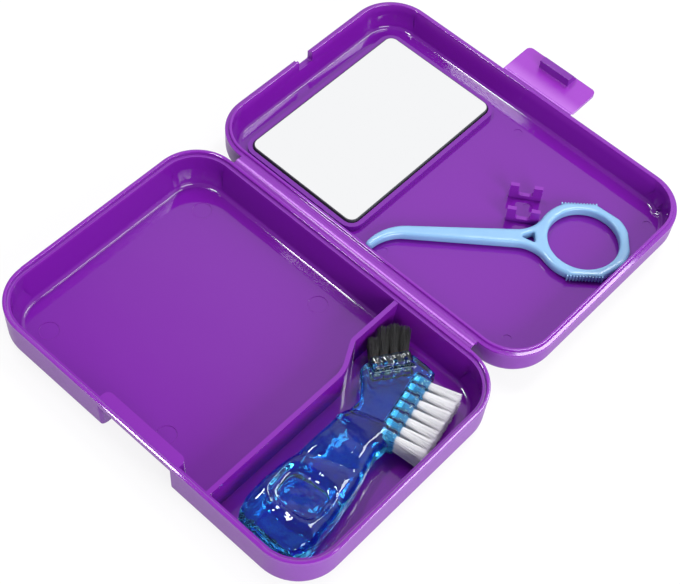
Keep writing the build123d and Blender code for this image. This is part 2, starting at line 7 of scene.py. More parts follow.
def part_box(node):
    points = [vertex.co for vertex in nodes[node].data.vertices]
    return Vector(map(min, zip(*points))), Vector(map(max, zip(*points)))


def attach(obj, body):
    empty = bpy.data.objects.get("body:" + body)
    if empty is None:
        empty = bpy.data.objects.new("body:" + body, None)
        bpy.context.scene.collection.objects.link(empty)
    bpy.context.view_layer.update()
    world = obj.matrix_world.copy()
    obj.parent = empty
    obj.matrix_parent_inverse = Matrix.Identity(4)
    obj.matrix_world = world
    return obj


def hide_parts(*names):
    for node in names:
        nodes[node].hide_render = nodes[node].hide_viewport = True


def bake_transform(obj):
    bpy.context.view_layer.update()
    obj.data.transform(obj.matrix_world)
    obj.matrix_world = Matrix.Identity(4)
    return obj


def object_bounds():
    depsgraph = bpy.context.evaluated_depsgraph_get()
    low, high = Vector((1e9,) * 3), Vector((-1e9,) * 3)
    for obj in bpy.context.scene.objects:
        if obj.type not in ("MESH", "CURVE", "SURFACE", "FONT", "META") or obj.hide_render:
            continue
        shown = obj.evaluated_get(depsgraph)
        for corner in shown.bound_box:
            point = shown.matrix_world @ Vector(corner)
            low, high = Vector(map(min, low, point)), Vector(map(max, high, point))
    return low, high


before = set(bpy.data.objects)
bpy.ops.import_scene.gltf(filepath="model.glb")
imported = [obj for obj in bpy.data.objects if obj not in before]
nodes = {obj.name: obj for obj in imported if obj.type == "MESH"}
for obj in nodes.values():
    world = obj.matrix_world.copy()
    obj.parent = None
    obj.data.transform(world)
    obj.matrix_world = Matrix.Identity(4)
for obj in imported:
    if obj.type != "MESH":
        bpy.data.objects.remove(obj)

cad_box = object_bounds()
bpy.ops.object.select_all(action="DESELECT")

# Camera
# Stands in front of the case's right end and looks down into both open trays, with a long lens
# and a slight roll.
camera_place = (0.1524, -0.1591, 0.3618)
camera_turn = (34.04, -3.40, 42.76)
camera_lens = 84.54
camera_film = 36.0
camera_near = 0.01
bpy.ops.object.camera_add(location=camera_place, rotation=[math.radians(a) for a in camera_turn])
camera = bpy.context.object
camera.data.lens = camera_lens
camera.data.sensor_width = camera_film
camera.data.clip_start = camera_near
bpy.context.scene.camera = camera
bpy.context.scene.view_settings.view_transform = "Standard"


# Table and light
# A white table top that keeps a faint shadow, and a white room, darker overhead but for a wide pale
# screen behind. A soft key lamp stands low on the right, and two lamps overhead draw the bright lines
# along rims and wall feet.
class Wire:
    """A shader socket. Plain arithmetic on wires adds Math nodes to their recipe."""

    def __init__(self, recipe, socket):
        self.recipe = recipe
        self.socket = socket

    def math(self, operation, first, second=0.0):
        return self.recipe.add("ShaderNodeMath", {"operation": operation}, {0: first, 1: second})

    def __add__(self, other):
        return self.math("ADD", self, other)

    def __radd__(self, other):
        return self.math("ADD", other, self)

    def __sub__(self, other):
        return self.math("SUBTRACT", self, other)

    def __rsub__(self, other):
        return self.math("SUBTRACT", other, self)

    def __mul__(self, other):
        return self.math("MULTIPLY", self, other)

    def __rmul__(self, other):
        return self.math("MULTIPLY", other, self)

    def __gt__(self, other):
        return self.math("GREATER_THAN", self, other)

    def __lt__(self, other):
        return self.math("LESS_THAN", self, other)

    def __abs__(self):
        return self.math("ABSOLUTE", self)

    def low(self, other):
        return self.math("MINIMUM", self, other)

    def high(self, other):
        return self.math("MAXIMUM", self, other)

    def root(self):
        return self.math("SQRT", self)


class Recipe:
    """One material, or the room's light, being mixed."""

    def __init__(self, name, tree=None):
        if tree is None:
            self.material = bpy.data.materials.new(name)
            self.material.use_nodes = True
            tree = self.material.node_tree
        self.tree = tree
        self.tree.nodes.clear()

    def add(self, kind, settings=None, inputs=None, output=0):
        """Any node, with its settings and the values or wires of its sockets. Gives one output's wire."""
        node = self.tree.nodes.new(kind)
        for key, value in (settings or {}).items():
            setattr(node, key, value)
        for key, value in (inputs or {}).items():
            if isinstance(value, Wire):
                self.tree.links.new(value.socket, node.inputs[key])
            else:
                node.inputs[key].default_value = value
        return None if output is None else Wire(self, node.outputs[output])

    def spot(self):
        """Where on the object the shaded point lies."""
        return self.add("ShaderNodeTexCoord", output="Object")

    def parts(self, vector):
        """The three parts of a place or a direction."""
        return [self.add("ShaderNodeSeparateXYZ", None, {0: vector}, axis) for axis in "XYZ"]

    def noise(self, spot, scale, detail=2.0):
        return self.add("ShaderNodeTexNoise", None, {"Vector": spot, "Scale": scale, "Detail": detail})

    def blend(self, factor, first, second):
        """Colour mix."""
        return self.add("ShaderNodeMix", {"data_type": "RGBA"}, {0: factor, 6: first, 7: second}, 2)

    def fade(self, value, start, end):
        """0 before start, 1 after end, smooth between."""
        return self.add("ShaderNodeMapRange", {"interpolation_type": "SMOOTHSTEP"}, {
            "Value": value, "From Min": start, "From Max": end})

    def bump(self, height, depth, normal=None):
        """Relief of a height in metres, on the surface's own normal or on one already shaped."""
        ground = {} if normal is None else {"Normal": normal}
        return self.add("ShaderNodeBump", None, {"Height": height, "Distance": depth, **ground})

    def finish(self, surface):
        self.add("ShaderNodeOutputMaterial", None, {"Surface": surface}, None)
        return self.material


table_reach = 3.0
table_white = (0.93, 0.93, 0.94, 1.0)
shadow_kept = 0.15
table_gap = 0.00002
ceiling = 0.32
ceiling_starts = (0.10, 0.34)
screen = 0.82
screen_edge_north = (0.24, 0.44)
screen_edge_up = (0.3, 0.5)
lamp_aim = Vector((0.0, 0.04, 0.0))
# Each lamp: name, direction from the aim, distance, width, length and watts
lamps = (("key_lamp", (0.85, -0.25, 0.46), 0.75, 0.40, 0.40, 4.6),
         ("long_strip", (0.02, 0.43, 0.90), 0.75, 0.13, 0.32, 1.9),
         ("cross_strip", (-0.37, -0.01, 0.93), 0.75, 0.22, 0.07, 1.7))

bpy.ops.mesh.primitive_plane_add(size=2 * table_reach, location=(0, 0, cad_box[0][2] - table_gap))
table = bpy.context.object
table.name = "table_top"
white = Recipe("white_table")
seen = white.add("ShaderNodeLightPath", output="Is Camera Ray")
seen = seen.high(white.add("ShaderNodeLightPath", output="Is Glossy Ray"))
seen = seen.high(white.add("ShaderNodeLightPath", output="Is Transmission Ray"))
lit = white.add("ShaderNodeBsdfDiffuse", None, {"Color": table_white})
glow = white.add("ShaderNodeEmission", None, {"Color": (1, 1, 1, 1), "Strength": 1.0})
mixed = white.add("ShaderNodeMixShader", None, {0: seen * (1 - shadow_kept), 1: lit, 2: glow})
table.data.materials.append(white.finish(mixed))

room = bpy.data.worlds.new("white_room")
bpy.context.scene.world = room
room.use_nodes = True
air = Recipe("white_room", room.node_tree)
north, up = air.parts(air.add("ShaderNodeTexCoord", output="Generated"))[1:]
level = ceiling + (1 - ceiling) * (1 - air.fade(up, *ceiling_starts))
level = level + screen * (air.fade(north, *screen_edge_north) * air.fade(up, *screen_edge_up))
sky = air.add("ShaderNodeBackground", None, {"Color": (1, 1, 1, 1), "Strength": level})
air.add("ShaderNodeOutputWorld", None, {"Surface": sky}, None)

for name, toward, distance, width, length, watts in lamps:
    bpy.ops.object.light_add(type="AREA", location=lamp_aim + Vector(toward).normalized() * distance)
    lamp = bpy.context.object
    lamp.name = name
    lamp.data.shape = "RECTANGLE"
    lamp.data.size = width
    lamp.data.size_y = length
    lamp.data.energy = watts
    lamp.rotation_euler = (-Vector(toward)).to_track_quat("-Z", "Y").to_euler()


# Base tray and lid tray
# Two halves of one injection moulding in purple polypropylene: polished inside, where the floors
# mirror the walls, satin outside, with a tight round at each wall's foot and eased rim edges.
purple = (0.158, 0.008, 0.305, 1.0)
purple_outside = (0.160, 0.009, 0.30, 1.0)
# Lighter purple painted as the glow through thin places and as the highlight on the ejector marks' rings
purple_painted_light = (0.21, 0.018, 0.37, 1.0)
polypropylene_ior = 1.49
# Plan and heights of a tray
tray_half = (0.0575, 0.03925)
tray_corner = 0.0135
lid_middle_y = 0.0815
rim_height = 0.013
floor_above_underside = 0.0016
merge_reach = 0.00001
# Feet of the inner walls: the CAD's round, the moulding's tighter one, and which faces belong to it
cad_foot_round = 0.0020
foot_round = 0.0014
foot_slant = (0.02, 0.998)
foot_reach = (-0.0043, -0.0015)
wall_splay = 0.0012
small_splay = 0.0002
recess_half = 0.0132
recess_wall_y = -0.0356
ring_side_x = 0.050
# Rim edges
rim_ease = 0.00020
rim_slack = 0.00015
rim_turn = 0.6
film_y = 0.04075
film_slack = 0.0006
smooth_below = 32
# Finish: polished inside, satin outside, with the faint waves of a moulding
polish = 0.045
satin = 0.36
outside_band = 0.0015
satin_top = 0.0004
satin_bottom = 0.0009
grain_size = 9000.0
grain_depth = 0.000012
sink_size = 55.0
sink_depth = 0.00005
smear_size = 220.0
smear_depth = 0.03
# Leaves beside the hinge, which bow up a little
leaf_haze = 0.20
leaf_half_width = 0.00150
leaf_top = 0.0002
hinge_bow = 86.0
hinge_bow_half = 0.003
hinge_crest_y = 0.0421
hinge_half_length = 0.0432
# Ejector marks in the base's floor, each with a painted highlight on its ring
mark_spots = ((-0.0435, -0.0293), (-0.0435, 0.0272), (0.0012, -0.0293), (0.0012, 0.0272))
mark_radius = 0.00275
mark_line = 0.00013
mark_depth = 0.00004
mark_top = 0.0018
# How strongly the marks' rings take the lighter purple of the painted highlight
mark_highlight_share = 0.5
# Thin places, painted a lighter purple as a glow of light coming through them: the rims and the tool's cradle
# in the lid
painted_glow_band = 0.0022
painted_glow_share = 0.8
cradle_middle = (0.0217, 0.0894)
cradle_reach = 0.0069
cradle_bottom = 0.0060


def tighten_feet(shell, floor, middle_y):
    """Gives the inner walls' feet a tighter round than the CAD's, and splays the walls a little."""
    sides = {}
    for face in shell.data.polygons:
        slanted = foot_slant[0] < face.normal.z < foot_slant[1]
        low_down = floor - merge_reach < face.center.z < floor + cad_foot_round
        recess = abs(face.center.x) < recess_half and face.center.y - middle_y < recess_wall_y
        across = abs(face.center.x) - (tray_half[0] - tray_corner)
        along = abs(face.center.y - middle_y) - (tray_half[1] - tray_corner)
        reach = math.hypot(max(across, 0), max(along, 0)) + min(max(across, along), 0) - tray_corner
        beside_wall = foot_reach[0] < reach < foot_reach[1]
        if slanted and low_down and not recess and (beside_wall or middle_y == 0.0):
            for i in face.vertices:
                sides.setdefault(i, []).append((face.normal.xy.normalized(), beside_wall))
    shrink = foot_round / cad_foot_round
    for i, ways in sides.items():
        # In a corner between two walls, one push moves the point off both.
        pairs = [(a.dot(b), a, b) for a, _ in ways for b, _ in ways]
        likeness, a, b = min(pairs, key=lambda pair: pair[0])
        push = (a + b) / (1 + likeness) if likeness > -0.5 else Vector((0, 0))
        spot = shell.data.vertices[i].co
        rise = max(0.0, min(1.0, (spot.z - floor) / cad_foot_round))
        by_ring = middle_y > 0 and spot.x > ring_side_x
        splay = wall_splay if all(beside for _, beside in ways) and not by_ring else small_splay
        sine = math.sqrt(1 - (1 - rise) ** 2)
        from_wall = splay + foot_round * (1 - sine)
        spot.xy += push * (from_wall - cad_foot_round * (1 - sine))
        spot.z = floor + rise * cad_foot_round * shrink
    shell.data.update()


def ease_rims(shell):
    """Rounds the sharp edges along the rims, but not where the hinge film starts."""
    around = {}
    for face in shell.data.polygons:
        for key in face.edge_keys:
            around.setdefault(key, []).append(face.normal.copy())
    for edge in shell.data.edges:
        spots = [shell.data.vertices[i].co for i in edge.vertices]
        faces = around[tuple(sorted(edge.vertices))]
        sharp = len(faces) == 2 and faces[0].dot(faces[1]) < rim_turn
        at_rim = min(p.z for p in spots) > rim_height - rim_slack
        at_film = all(abs(p.y - film_y) < film_slack for p in spots)
        edge.select = sharp and at_rim and not at_film
    bpy.ops.object.mode_set(mode="EDIT")
    bpy.ops.mesh.select_mode(type="EDGE")
    bpy.ops.mesh.bevel(offset=rim_ease, segments=2, affect="EDGES")
    bpy.ops.object.mode_set(mode="OBJECT")


def moulded_shell(name, node, body, middle_y):
    """A tray's skin, worked from a merged copy of its CAD mesh."""
    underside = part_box(node)[0][2]
    shell = bpy.data.objects.new(name, nodes[node].data.copy())
    bpy.context.collection.objects.link(shell)
    bpy.ops.object.select_all(action="DESELECT")
    shell.select_set(True)
    bpy.context.view_layer.objects.active = shell
    bpy.ops.mesh.customdata_custom_splitnormals_clear()
    bpy.ops.object.mode_set(mode="EDIT")
    bpy.ops.mesh.select_all(action="SELECT")
    bpy.ops.mesh.remove_doubles(threshold=merge_reach)
    bpy.ops.mesh.select_all(action="DESELECT")
    bpy.ops.object.mode_set(mode="OBJECT")
    tighten_feet(shell, underside + floor_above_underside, middle_y)
    ease_rims(shell)
    bpy.ops.object.shade_smooth_by_angle(angle=math.radians(smooth_below))
    flats = shell.modifiers.new("flats_stay_flat", "WEIGHTED_NORMAL")
    flats.mode = "FACE_AREA"
    flats.weight = 100
    flats.keep_sharp = True
    bpy.ops.object.modifier_apply(modifier=flats.name)
    shell.data.materials.clear()
    shell.data.materials.append(tray_plastic(name + "_polypropylene", middle_y, underside))
    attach(shell, body)
    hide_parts(node)


def tray_plastic(name, middle_y, underside):
    """Purple plastic with its polished and satin sides, bowed leaves and marks, a painted glow on thin places
    and a painted highlight on the marks' rings.
    """
    recipe = Recipe(name)
    spot = recipe.spot()
    x, y, z = recipe.parts(spot)
    across = abs(x) - (tray_half[0] - tray_corner)
    along = abs(y - middle_y) - (tray_half[1] - tray_corner)
    corner = (across.high(0) * across.high(0) + along.high(0) * along.high(0)).root()
    reach = corner + across.high(along).low(0) - tray_corner
    outside = ((reach > -outside_band) * (z < rim_height - satin_top)).high(z < underside + satin_bottom)
    on_leaf = (abs(y - film_y) < leaf_half_width) * (abs(x) < hinge_half_length)
    leaf = on_leaf * (z > rim_height - leaf_top)
    from_crest = abs(y - hinge_crest_y)
    bow = leaf * (hinge_bow * ((hinge_bow_half - from_crest) * (hinge_bow_half + from_crest)))
    grain = recipe.noise(spot, grain_size) * outside
    sink = recipe.noise(spot, sink_size, 1.0) * (1 - outside)
    rings = 0.0
    for mark_x, mark_y in mark_spots if middle_y == 0.0 else ():
        aside = x - mark_x
        ahead = y - mark_y
        rings = rings + (abs((aside * aside + ahead * ahead).root() - mark_radius) < mark_line)
    rings = rings * (1 - outside) * (z < underside + mark_top)
    relief = recipe.bump(grain * grain_depth + sink * sink_depth + bow + rings * mark_depth, 1.0)
    smear = recipe.noise(spot, smear_size, 3.0)
    roughness = polish + outside * (satin - polish) + leaf * leaf_haze + smear * smear_depth
    colour = recipe.blend(outside, purple, purple_outside)
    # Painted glow: a lighter purple near the rim and on the cradle, where light would come through the thin
    # plastic
    painted_light = recipe.fade(z, rim_height - painted_glow_band, rim_height) * painted_glow_share
    cradle = (abs(x - cradle_middle[0]) < cradle_reach) * (abs(y - cradle_middle[1]) < cradle_reach)
    # The ejector marks' rings get the same lighter purple, as a painted highlight
    painted_light = painted_light.high(cradle * (z > cradle_bottom)).high(rings * mark_highlight_share)
    colour = recipe.blend(painted_light, colour, purple_painted_light)
    body = recipe.add("ShaderNodeBsdfPrincipled", None, {
        "Base Color": colour, "Roughness": roughness, "Normal": relief, "IOR": polypropylene_ior})
    return recipe.finish(body)


moulded_shell("base_shell", "base_tray", "case_base", 0.0)
moulded_shell("lid_shell", "lid_tray", "lid", lid_middle_y)


# Living hinge and latch film
# The moulding's two thin webs, with a painted highlight along each crease: one joins the trays' leaves along
# the back, the other joins the latch flap to the lid's rim.
web_thickness = 0.0004
crease_depth = 0.00005
web_smooth_below = 40
web_purple = (0.30, 0.045, 0.50, 1.0)
# Lighter purple for the painted highlight along the creases and the flap's root, and for the flap's flow
# streaks
highlight_and_streak_purple = (0.48, 0.17, 0.68, 1.0)
streak_size = 2600.0
streak_depth = 0.00001
web_sheen = 0.22
crease_highlight_share = 0.6
crease_highlight_streaks = 0.5


def flexing_web(name, node):
    """A sheet of film with a crease along its middle, laid from one body to the next."""
    low, high = [Vector(p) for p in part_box(node)]
    middle = (low + high) / 2
    bpy.ops.object.select_all(action="DESELECT")
    bpy.ops.mesh.primitive_grid_add(x_subdivisions=24, y_subdivisions=10, size=1.0,
                                    location=(middle.x, middle.y, high.z))
    web = bpy.context.object
    web.name = name
    web.scale = (high.x - low.x, high.y - low.y, 1.0)
    bpy.ops.object.transform_apply(location=True, rotation=True, scale=True)
    for vertex in web.data.vertices:
        off = abs(vertex.co.y - middle.y) / ((high.y - low.y) / 2)
        vertex.co.z -= crease_depth * max(0.0, 1 - 2 * off)
    thick = web.modifiers.new("film_thickness", "SOLIDIFY")
    thick.thickness = web_thickness - crease_depth
    thick.offset = -1.0
    bpy.ops.object.modifier_apply(modifier=thick.name)
    bpy.ops.object.shade_smooth_by_angle(angle=math.radians(web_smooth_below))
    recipe = Recipe(name + "_polypropylene")
    spot = recipe.spot()
    from_crease = abs(recipe.parts(spot)[1] - middle.y)
    # Painted highlight along the crease, strongest in its middle and broken up by streaks
    crease_highlight = 1 - recipe.fade(from_crease, 0.0, (high.y - low.y) / 2)
    streaks = recipe.noise(spot, streak_size, 3.0)
    colour = recipe.blend(crease_highlight * (crease_highlight_share + streaks * crease_highlight_streaks), web_purple, highlight_and_streak_purple)
    relief = recipe.bump(streaks * streak_depth, 1.0)
    body_shader = recipe.add("ShaderNodeBsdfPrincipled", None, {
        "Base Color": colour, "Roughness": web_sheen + streaks * 0.1, "Normal": relief,
        "IOR": polypropylene_ior})
    web.data.materials.append(recipe.finish(body_shader))
    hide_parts(node)
    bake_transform(web)


flexing_web("hinge_web", "hinge_film")
flexing_web("latch_web", "latch_film")


# Latch flap
# Part of the same moulding, hung on the latch film, and so thin that light glows through it, painted here as
# a lighter purple with a painted highlight along its root. The bar of its catch, raised from its inner face,
# stays darker, without the painted glow.
# The flap's lighter purple is a painted glow of light through the thin plastic; the catch keeps the plain
# purple
flap_painted_glow = (0.27, 0.022, 0.44, 1.0)
catch_purple = (0.15, 0.008, 0.29, 1.0)
flap_edge_round = 0.00025
flap_root = (0.1215, 0.1262)
flap_face = 0.0001
catch_face = 0.0006
flow_size = 130.0
flow_depth = 0.00018
root_dip = 0.00022
flap_sheen = 0.16
root_highlight_share = 0.55
flow_streak_share = 0.12
flap = Recipe("latch_flap_polypropylene")
spot = flap.spot()
y, z = flap.parts(spot)[1:]
shaped = flap.add("ShaderNodeBevel", {"samples": 6}, {"Radius": flap_edge_round})
flow = flap.noise(spot, flow_size, 2.0)
root = 1 - flap.fade(y, *flap_root)
raised = flap.fade(z, rim_height + flap_face, rim_height + catch_face)
colour = flap.blend(raised, flap_painted_glow, catch_purple)
# Painted highlight along the root, plus random lighter flow streaks
colour = flap.blend(root * root_highlight_share + flow * flow_streak_share, colour, highlight_and_streak_purple)
relief = flap.bump(flow * flow_depth + root * root_dip, 1.0, shaped)
body = flap.add("ShaderNodeBsdfPrincipled", None, {
    "Base Color": colour, "Roughness": flap_sheen + flow * 0.1, "Normal": relief, "IOR": polypropylene_ior})
nodes["latch_flap"].data.materials.clear()
nodes["latch_flap"].data.materials.append(flap.finish(body))


# Mirror
# A stock 40 x 60 mm glass mirror with a ground edge, silvered and painted grey behind, held down
# in its frame by a sheet of white foam tape.
mirror_corner = 0.0026
ground_edge = 0.0003
upright_edge = 0.001
pane_smooth_below = 20
silver_white = (0.80, 0.805, 0.815, 1.0)
dusty_white = (0.90, 0.91, 0.92, 1)
dust_size = 900.0
dust_share = 0.02
flat_above = 0.98
glass_ior = 1.52
# Near-black colour on the pane's edges: a painted shade for the shadowed gap around the glass
edge_painted_shade = (0.05, 0.055, 0.06, 1.0)
edge_haze = 0.40
silver_haze = 0.015
paint_haze = 0.55
paint_greys = ((0.16, 0.17, 0.18, 1), (0.24, 0.25, 0.26, 1))
foam_haze = 0.9
foam_whites = ((0.82, 0.82, 0.80, 1), (0.62, 0.62, 0.60, 1))
speckle_size = 1500.0
speckle_depth = 0.00001
foam_cell_size = 3500.0
foam_cell_depth = 0.00006
low, high = [Vector(p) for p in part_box("mirror_glass")]
bpy.ops.object.select_all(action="DESELECT")
bpy.ops.mesh.primitive_cube_add(size=1.0, location=(low + high) / 2)
pane = bpy.context.object
pane.name = "mirror_pane"
pane.scale = high - low
bpy.ops.object.transform_apply(location=True, rotation=True, scale=True)
bpy.ops.object.mode_set(mode="EDIT")
bpy.ops.mesh.select_all(action="DESELECT")
bpy.ops.object.mode_set(mode="OBJECT")
for edge in pane.data.edges:
    first, second = [pane.data.vertices[i].co for i in edge.vertices]
    edge.select = abs(first.z - second.z) > upright_edge
bpy.ops.object.mode_set(mode="EDIT")
bpy.ops.mesh.select_mode(type="EDGE")
bpy.ops.mesh.bevel(offset=mirror_corner, segments=8, affect="EDGES")
bpy.ops.mesh.select_all(action="DESELECT")
bpy.ops.object.mode_set(mode="OBJECT")
for edge in pane.data.edges:
    first, second = [pane.data.vertices[i].co for i in edge.vertices]
    edge.select = min(first.z, second.z) > high.z - merge_reach
bpy.ops.object.mode_set(mode="EDIT")
bpy.ops.mesh.bevel(offset=ground_edge, segments=2, affect="EDGES")
bpy.ops.object.mode_set(mode="OBJECT")
bpy.ops.object.shade_smooth_by_angle(angle=math.radians(pane_smooth_below))
silver = Recipe("silvered_glass")
upward = silver.parts(silver.add("ShaderNodeTexCoord", output="Normal"))[2]
flat = upward > flat_above
dust = silver.noise(silver.spot(), dust_size, 4.0)
face = silver.blend(dust * dust_share, silver_white, dusty_white)
# Silvered on the flat top; the edges take the near-black painted shade
coat = silver.add("ShaderNodeBsdfPrincipled", None, {
    "Base Color": silver.blend(flat, edge_painted_shade, face), "Metallic": flat,
    "Roughness": edge_haze - flat * (edge_haze - silver_haze) + dust * 0.01, "IOR": glass_ior})
pane.data.materials.append(silver.finish(coat))
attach(pane, "lid")
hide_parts("mirror_glass")

paint = Recipe("mirror_back_paint")
speckle = paint.noise(paint.spot(), speckle_size, 4.0)
coat = paint.add("ShaderNodeBsdfPrincipled", None, {
    "Base Color": paint.blend(speckle, *paint_greys), "Roughness": paint_haze,
    "Normal": paint.bump(speckle * speckle_depth, 1.0)})
nodes["mirror_backing"].data.materials.clear()
nodes["mirror_backing"].data.materials.append(paint.finish(coat))
foam = Recipe("foam_tape")
cells = foam.add("ShaderNodeTexVoronoi", None, {"Vector": foam.spot(), "Scale": foam_cell_size})
coat = foam.add("ShaderNodeBsdfPrincipled", None, {
    "Base Color": foam.blend(cells, *foam_whites), "Roughness": foam_haze,
    "Normal": foam.bump(cells * foam_cell_depth, 1.0)})
nodes["mirror_tape"].data.materials.clear()
nodes["mirror_tape"].data.materials.append(foam.finish(coat))


# Aligner removal tool
# One moulding in opaque light blue, glossy and rounded all over, with twelve fine upright teeth on
# each side of the ring for finger and thumb.
light_blue = (0.205, 0.395, 0.640, 1.0)
pale_blue = (0.255, 0.465, 0.715, 1.0)
tool_ring = Vector((0.0413, 0.09155, 0.0))
tool_angle = 41.498
tool_cell = 0.00024
tool_ease = 26
tooth_count = 12
tooth_pitch = 0.00088
tooth_middle_x = -0.0004
tooth_size = (0.00046, 0.00060)
tooth_end_gap = 0.00040
tooth_set_back = 0.00020
pad_set_back = 0.00032
tooth_round = 0.00012
tooth_smooth_below = 50
pad_face = 0.0126
pad_half_length = 0.0053
tool_flow_size = 160.0
tool_flow_depth = 0.00007
tool_sheen = 0.15
tool_ior = 1.5
tool_seep = 0.12
tool_seep_reach = (0.001, 0.0015, 0.002)
low, high = [Vector(p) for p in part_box("removal_tool")]
bpy.ops.object.select_all(action="DESELECT")
remover = bpy.data.objects.new("aligner_remover", nodes["removal_tool"].data.copy())
bpy.context.collection.objects.link(remover)
bpy.context.view_layer.objects.active = remover
remover.select_set(True)
bpy.ops.mesh.customdata_custom_splitnormals_clear()
bpy.ops.object.mode_set(mode="EDIT")
bpy.ops.mesh.select_all(action="SELECT")
bpy.ops.mesh.remove_doubles(threshold=merge_reach)
bpy.ops.object.mode_set(mode="OBJECT")
skin = remover.modifiers.new("one_skin", "REMESH")
skin.mode = "VOXEL"
skin.voxel_size = tool_cell
bpy.ops.object.modifier_apply(modifier=skin.name)
ease = remover.modifiers.new("rounded_edges", "SMOOTH")
ease.factor = 0.5
ease.iterations = tool_ease
bpy.ops.object.modifier_apply(modifier=ease.name)
bpy.ops.object.shade_smooth()
turned = Matrix.Translation(tool_ring) @ Matrix.Rotation(math.radians(tool_angle), 4, "Z")
for vertex in remover.data.vertices:
    local = turned.inverted() @ vertex.co
    if abs(local.x - tooth_middle_x) < pad_half_length and abs(local.y) > pad_face - pad_set_back:
        local.y = math.copysign(pad_face - pad_set_back, local.y)
        vertex.co = turned @ local
teeth = []
for i in range(tooth_count):
    for side in (-1, 1):
        bpy.ops.object.select_all(action="DESELECT")
        bpy.ops.mesh.primitive_cube_add(size=1.0)
        tooth = bpy.context.object
        tooth.scale = (*tooth_size, high.z - low.z - 2 * tooth_end_gap)
        bpy.ops.object.transform_apply(location=False, rotation=False, scale=True)
        rounding = tooth.modifiers.new("tooth_round", "BEVEL")
        rounding.width = tooth_round
        rounding.segments = 2
        bpy.ops.object.modifier_apply(modifier=rounding.name)
        along = tooth_middle_x + (i - (tooth_count - 1) / 2) * tooth_pitch
        place = Matrix.Translation((along, side * (pad_face - tooth_set_back), (low.z + high.z) / 2))
        tooth.data.transform(turned @ place)
        bpy.ops.object.shade_smooth_by_angle(angle=math.radians(tooth_smooth_below))
        teeth.append(tooth)
bpy.ops.object.select_all(action="DESELECT")
for tooth in teeth:
    tooth.select_set(True)
remover.select_set(True)
bpy.context.view_layer.objects.active = remover
bpy.ops.object.join()
tool_blue = Recipe("light_blue_plastic")
flow = tool_blue.noise(tool_blue.spot(), tool_flow_size, 2.0)
relief = tool_blue.bump(flow * tool_flow_depth, 1.0)
body = tool_blue.add("ShaderNodeBsdfPrincipled", None, {
    "Base Color": tool_blue.blend(flow, light_blue, pale_blue), "Roughness": tool_sheen + flow * 0.08,
    "Normal": relief, "IOR": tool_ior, "Subsurface Weight": tool_seep,
    "Subsurface Radius": tool_seep_reach, "Subsurface Scale": 1.0})
remover.data.materials.clear()
remover.data.materials.append(tool_blue.finish(body))
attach(remover, "tool")
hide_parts("removal_tool")


# Brush body
# One thick clear-blue moulding: a waisted grip with a dished face on each side, a neck, and a flat
# head whose two strips of rounded lugs carry the tufts. Its skin is rounded and a little wavy.
brush_middle = Vector((0.0402, 0.0, 0.00685))
# Each strip: middle of its face from the brush's middle, way it faces in degrees, tufts, and pitch
white_strip = (Vector((0.0039, 0.01635, 0)), 13.0, 7, 0.00305)
black_strip = (Vector((-0.0116, 0.0246, 0)), 146.0, 4, 0.00275)
lug_length = 0.009
lug_width = 0.0027
lug_depth = 0.0018
lug_round = 0.0007
brush_merge_reach = 0.00002
skin_cell = 0.00030
edge_ease = 7
grip_ease = 9
grip_start = 0.003
grip_fade = 0.004
wave_height = 0.00050
wave_size = 0.0060
clear_blues = ((0.02, 0.34, 0.98, 1), (0.08, 0.58, 1.0, 1))
swirl_size = 240.0
swirl_depth = 0.00022
clear_polish = 0.01
clear_ior = 1.5
bpy.ops.object.select_all(action="DESELECT")
clear_body = bpy.data.objects.new("clear_brush_body", nodes["brush_handle"].data.copy())
bpy.context.collection.objects.link(clear_body)
bpy.context.view_layer.objects.active = clear_body
clear_body.select_set(True)
bpy.ops.mesh.customdata_custom_splitnormals_clear()
bpy.ops.object.mode_set(mode="EDIT")
bpy.ops.mesh.select_all(action="SELECT")
bpy.ops.mesh.remove_doubles(threshold=brush_merge_reach)
bpy.ops.object.mode_set(mode="OBJECT")


def strip_matrix(strip):
    """From a tuft strip's own frame, face at z = 0 and strip along y, to the case's."""
    middle, angle = strip[:2]
    turned = Matrix.Rotation(math.radians(angle), 4, "Z") @ Matrix.Rotation(math.radians(90), 4, "Y")
    return Matrix.Translation(brush_middle + middle) @ turned


lugs = []
for strip in (white_strip, black_strip):
    columns, pitch = strip[2:]
    for i in range(columns):
        bpy.ops.object.select_all(action="DESELECT")
        across = (i - (columns - 1) / 2) * pitch
        bpy.ops.mesh.primitive_cube_add(size=1.0)
        lug = bpy.context.object
        lug.scale = (lug_length, lug_width, lug_depth)
        bpy.ops.object.transform_apply(location=False, rotation=False, scale=True)
        rounding = lug.modifiers.new("lug_round", "BEVEL")
        rounding.width = lug_round
        rounding.segments = 4
        bpy.ops.object.modifier_apply(modifier=rounding.name)
        lug.data.transform(strip_matrix(strip) @ Matrix.Translation((0, across, -lug_depth / 2)))
        lugs.append(lug)
bpy.ops.object.select_all(action="DESELECT")
for lug in lugs:
    lug.select_set(True)
clear_body.select_set(True)
bpy.context.view_layer.objects.active = clear_body
bpy.ops.object.join()
skin = clear_body.modifiers.new("one_skin", "REMESH")
skin.mode = "VOXEL"
skin.voxel_size = skin_cell
bpy.ops.object.modifier_apply(modifier=skin.name)
ease = clear_body.modifiers.new("melted_edges", "SMOOTH")
ease.factor = 0.5
ease.iterations = edge_ease
bpy.ops.object.modifier_apply(modifier=ease.name)
grip = clear_body.vertex_groups.new(name="grip")
for vertex in clear_body.data.vertices:
    down = brush_middle.y + grip_start - vertex.co.y
    grip.add([vertex.index], max(0.0, min(1.0, down / grip_fade)), "REPLACE")
more = clear_body.modifiers.new("grip_ease", "SMOOTH")
more.factor = 0.5
more.iterations = grip_ease
more.vertex_group = "grip"
bpy.ops.object.modifier_apply(modifier=more.name)
waves = bpy.data.textures.new("melt_waves", "CLOUDS")
waves.noise_scale = wave_size
waves.noise_depth = 1
